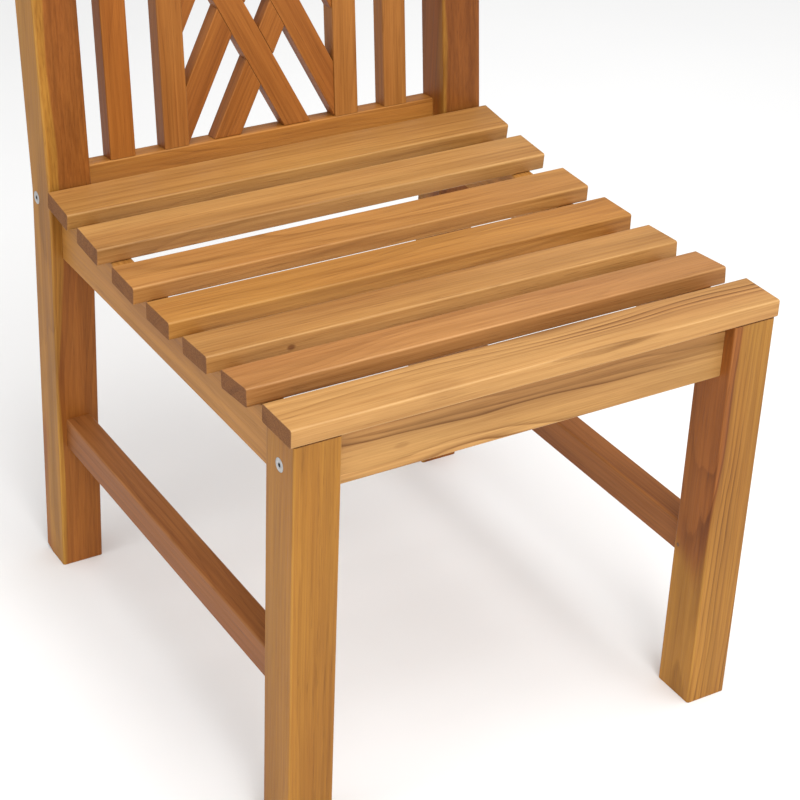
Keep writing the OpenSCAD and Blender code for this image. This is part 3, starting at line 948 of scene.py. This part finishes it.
def build_seat():
    slats = {
        1: dict(seed=1.3, tone=(201, 147, 78), lines=0.35, ring=0.007, pith=(0.05, -0.04)),
        2: dict(seed=2.9, tone=(207, 154, 88), lines=0.30, ring=0.008, pith=(-0.07, -0.03)),
        3: dict(seed=4.1, tone=(208, 149, 80), lines=0.45, ring=0.006, pith=(0.03, -0.05)),
        4: dict(seed=5.7, tone=(211, 151, 75), lines=0.35, ring=0.007, pith=(-0.04, -0.05)),
        5: dict(
            seed=6.2,
            tone=(206, 151, 85),
            lines=0.40,
            ring=0.007,
            pith=(0.06, -0.02),
            knot=(-0.168, -0.0235, -0.002, 0.0028),
            push=0.8,
            core=0.9,
        ),
        6: dict(seed=7.8, tone=(204, 145, 84), lines=0.5, ring=0.0065, pith=(-0.03, -0.05)),
        7: dict(
            seed=8.4,
            tone=(215, 162, 96),
            contrast=0.06,
            lines=1.4,
            streaks=0.3,
            ring=0.0095,
            pith=(0.055, -0.035),
            drift=(0.03, 0.03),
            knot=(-0.107, -0.017, 0.006, 0.016),
            push=0.8,
            core=0.2,
        ),
    }
    for i, look in slats.items():
        node = f"seat_slat_{i}"
        board(node, straight_board(node, SLAT_EASE, END_EASE), "teak_seat", **look)


def build_side_frames():
    front_legs = {
        "front_leg_left": dict(
            seed=11.5,
            tone=(190, 131, 50),
            lines=0.3,
            streaks=0.35,
            pith=(0.05, -0.03),
        ),
        "front_leg_right": dict(
            seed=13.8,
            tone=(202, 143, 60),
            lines=0.9,
            streaks=0.4,
            ring=0.007,
            pith=(0.0, -0.2),
            heart=0.179,
        ),
    }
    for node, look in front_legs.items():
        made = straight_board(node, LEG_EASE, END_EASE, bolt_recesses(node) + pin_holes(node))
        board(node, made, "teak_frame", **look)
    for node, seed in zip(REAR_LEGS, (17.1, 20.2)):
        made = sawn_board(node, True, LEG_EASE, END_EASE, bolt_recesses(node) + pin_holes(node))
        board(
            node,
            made,
            "teak_frame",
            seed=seed,
            tone=(196, 138, 54),
            contrast=0.2,
            lines=0.35,
            streaks=0.7,
            pith=(0.0, -0.2),
            drift=(0.03, 0.0),
            heart=0.2205,
        )
    for node, seed in zip(SIDE_RAILS, (26.0, 27.7)):
        made = sawn_board(node, False, RAIL_EASE, JOINT_EASE)
        board(
            node,
            made,
            "teak_frame",
            seed=seed,
            tone=(206, 145, 70),
            lines=0.4,
            ring=0.007,
            pith=(0.03, 0.05),
        )
    for node, seed in zip(STRETCHERS, (31.2, 33.1)):
        made = straight_board(node, LEG_EASE, JOINT_EASE)
        board(
            node,
            made,
            "teak_frame",
            seed=seed,
            tone=(175, 111, 56),
            lines=0.4,
            ring=0.006,
            pith=(0.05, -0.04),
        )
    made = straight_board("front_apron", RAIL_EASE, JOINT_EASE, nut_holes("front_apron"))
    board(
        "front_apron",
        made,
        "teak_frame",
        seed=23.4,
        tone=(214, 162, 95),
        contrast=0.16,
        lines=1.2,
        ring=0.008,
        pith=(0.055, 0.04),
        drift=(0.04, 0.02),
        knot=(-0.137, 0.006, -0.011, 0.005),
        push=0.5,
        core=0.3,
    )


def build_back():
    for node, seed in zip(BACK_RAILS, (36.3, 38.4)):
        made = straight_board(node, BACK_EASE, JOINT_EASE, nut_holes(node))
        board(
            node,
            made,
            "teak_back",
            seed=seed,
            tone=(214, 146, 64),
            lines=0.35,
            ring=0.007,
            pith=(0.03, 0.05),
        )
    slat_seeds = (41.7, 43.0, 44.3, 45.6)
    slat_tones = ((190, 115, 42), (192, 124, 54), (194, 128, 58), (194, 128, 58))
    for node, seed, tone in zip(BACK_SLATS, slat_seeds, slat_tones):
        made = straight_board(node, BACK_EASE, JOINT_EASE)
        board(node, made, "teak_back", seed=seed, tone=tone, lines=0.4, pith=(0.04, 0.03))
    bar_seeds = (51.9, 53.0, 54.1, 55.2, 56.3, 57.4)
    for node, seed in zip(LATTICE, bar_seeds):
        made = lapped_bar(node, LATTICE_EASE)
        board(
            node,
            made,
            "teak_back",
            seed=seed,
            tone=(186, 115, 48),
            lines=0.4,
            pith=(0.04, -0.03),
        )


def dress_fittings():
    finishes = {
        "frame_bolts": steel("bolt_steel", base=0.46, roughness=0.34, scratch=0.25),
        "barrel_nuts": steel("nut_steel", base=0.50, roughness=0.38, scratch=0.35),
        "rail_dowels": dowel_wood("rail_dowel_wood"),
        "slat_dowels": dowel_wood("slat_dowel_wood"),
        "tenon_pins": dowel_wood("pin_wood"),
    }
    for node, material in finishes.items():
        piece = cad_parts[node]
        piece.data.materials.clear()
        piece.data.materials.append(material)


# ---------------------------------------------------------------- floor, light and camera


def lay_floor():
    bpy.ops.mesh.primitive_plane_add(size=FLOOR_SIZE)
    floor = bpy.context.object
    floor.name = "floor"
    material, n, shader = new_material("floor_white")
    place = n.add("ShaderNodeTexCoord").outputs["Object"]
    patch = n.noise(place, scale=FLOOR_PATCHES, detail=2.0, roughness=0.5)
    n.feed(shader.inputs["Base Color"], n.mix(patch, FLOOR_GREY, FLOOR_PALE))
    shader.inputs["Roughness"].default_value = FLOOR_ROUGHNESS
    shader.inputs["Specular IOR Level"].default_value = 0.0
    floor.data.materials.append(material)


def area_light(name, place, size, power):
    """A round soft light that faces the chair."""
    light = bpy.data.lights.new(name, "AREA")
    light.shape = "DISK"
    light.size = size
    light.energy = power
    lamp = bpy.data.objects.new(name, light)
    lamp.location = place
    aim = Vector(LIGHT_TARGET) - Vector(place)
    lamp.rotation_euler = aim.to_track_quat("-Z", "Y").to_euler()
    bpy.context.scene.collection.objects.link(lamp)


def light_studio():
    world = bpy.data.worlds.new("studio")
    world.use_nodes = True
    background = world.node_tree.nodes["Background"]
    background.inputs["Color"].default_value = (1.0, 1.0, 1.0, 1.0)
    background.inputs["Strength"].default_value = WORLD_LIGHT
    bpy.context.scene.world = world
    for name, (place, size, power) in LIGHTS.items():
        area_light(name, place, size, power)


def set_camera():
    """The photograph's view: from the front left, looking down at the seat."""
    camera = bpy.data.cameras.new("camera")
    camera.lens = CAMERA_LENS
    camera.sensor_width = CAMERA_SENSOR
    holder = bpy.data.objects.new("camera", camera)
    pitch = math.pi / 2 - math.radians(CAMERA_DOWN)
    aim = Euler((pitch, 0.0, -math.radians(CAMERA_TURN))).to_matrix()
    tilt = Matrix.Rotation(math.radians(CAMERA_TILT), 3, "Z")
    holder.matrix_world = Matrix.Translation(Vector(CAMERA_PLACE)) @ (aim @ tilt).to_4x4()
    bpy.context.scene.collection.objects.link(holder)
    bpy.context.scene.camera = holder


bpy.context.scene.view_settings.view_transform = "Standard"
build_seat()
build_side_frames()
build_back()
dress_fittings()
lay_floor()
light_studio()
set_camera()
